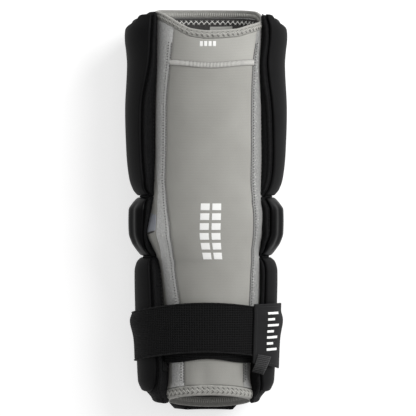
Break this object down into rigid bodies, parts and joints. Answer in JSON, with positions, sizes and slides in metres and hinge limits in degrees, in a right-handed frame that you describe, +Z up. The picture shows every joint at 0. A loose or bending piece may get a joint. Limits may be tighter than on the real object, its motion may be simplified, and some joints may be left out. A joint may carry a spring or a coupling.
{
  "type": "lacrosse arm pad",
  "caption": "Padded stretch sleeve for the left arm with moulded upper-arm, elbow and forearm shells and a wide elastic forearm strap.",
  "frame": {"origin": "under the middle of the pad's box, on the surface that its shell lies on", "axes": "+Y towards the upper-arm end, +Z up out of the open inner-arm side, +X to the right of a viewer who looks down on it with the upper-arm end away"},
  "size_m": [0.1372, 0.345, 0.0954],
  "materials": {
    "stretch_fabric": "grey stretch neoprene cloth, fine knit face",
    "brushed_fabric": "grey brushed loop strip",
    "hem_fabric": "grey turned hem with cover stitching",
    "sleeve_lining": "charcoal fleece lining",
    "pad_cover": "black knit over foam, with bound edges",
    "shell_plastic": "black moulded shell, fine matte",
    "cap_plastic": "black moulded cap, satin",
    "elastic_webbing": "black woven elastic",
    "tab_cover": "black smooth tab",
    "tag_cloth": "pale woven tag, bare"
  },
  "bodies": {
    "root": {"front_panel": "stretch_fabric", "cuff_panel": "stretch_fabric", "side_strip_right": "brushed_fabric", "side_strip_left": "brushed_fabric", "sleeve_back": "sleeve_lining", "upper_hem": "hem_fabric", "wrist_hem": "hem_fabric", "size_tag": "tag_cloth", "forearm_pad": "pad_cover", "elbow_pad": "pad_cover", "upper_pad": "pad_cover", "forearm_plate": "shell_plastic", "elbow_cap": "cap_plastic", "upper_plate": "shell_plastic", "forearm_strap": "elastic_webbing", "strap_tab": "tab_cover", "inner_strap": "elastic_webbing", "strap_anchor_left": "elastic_webbing", "strap_anchor_right": "elastic_webbing"}
  },
  "joints": []
}
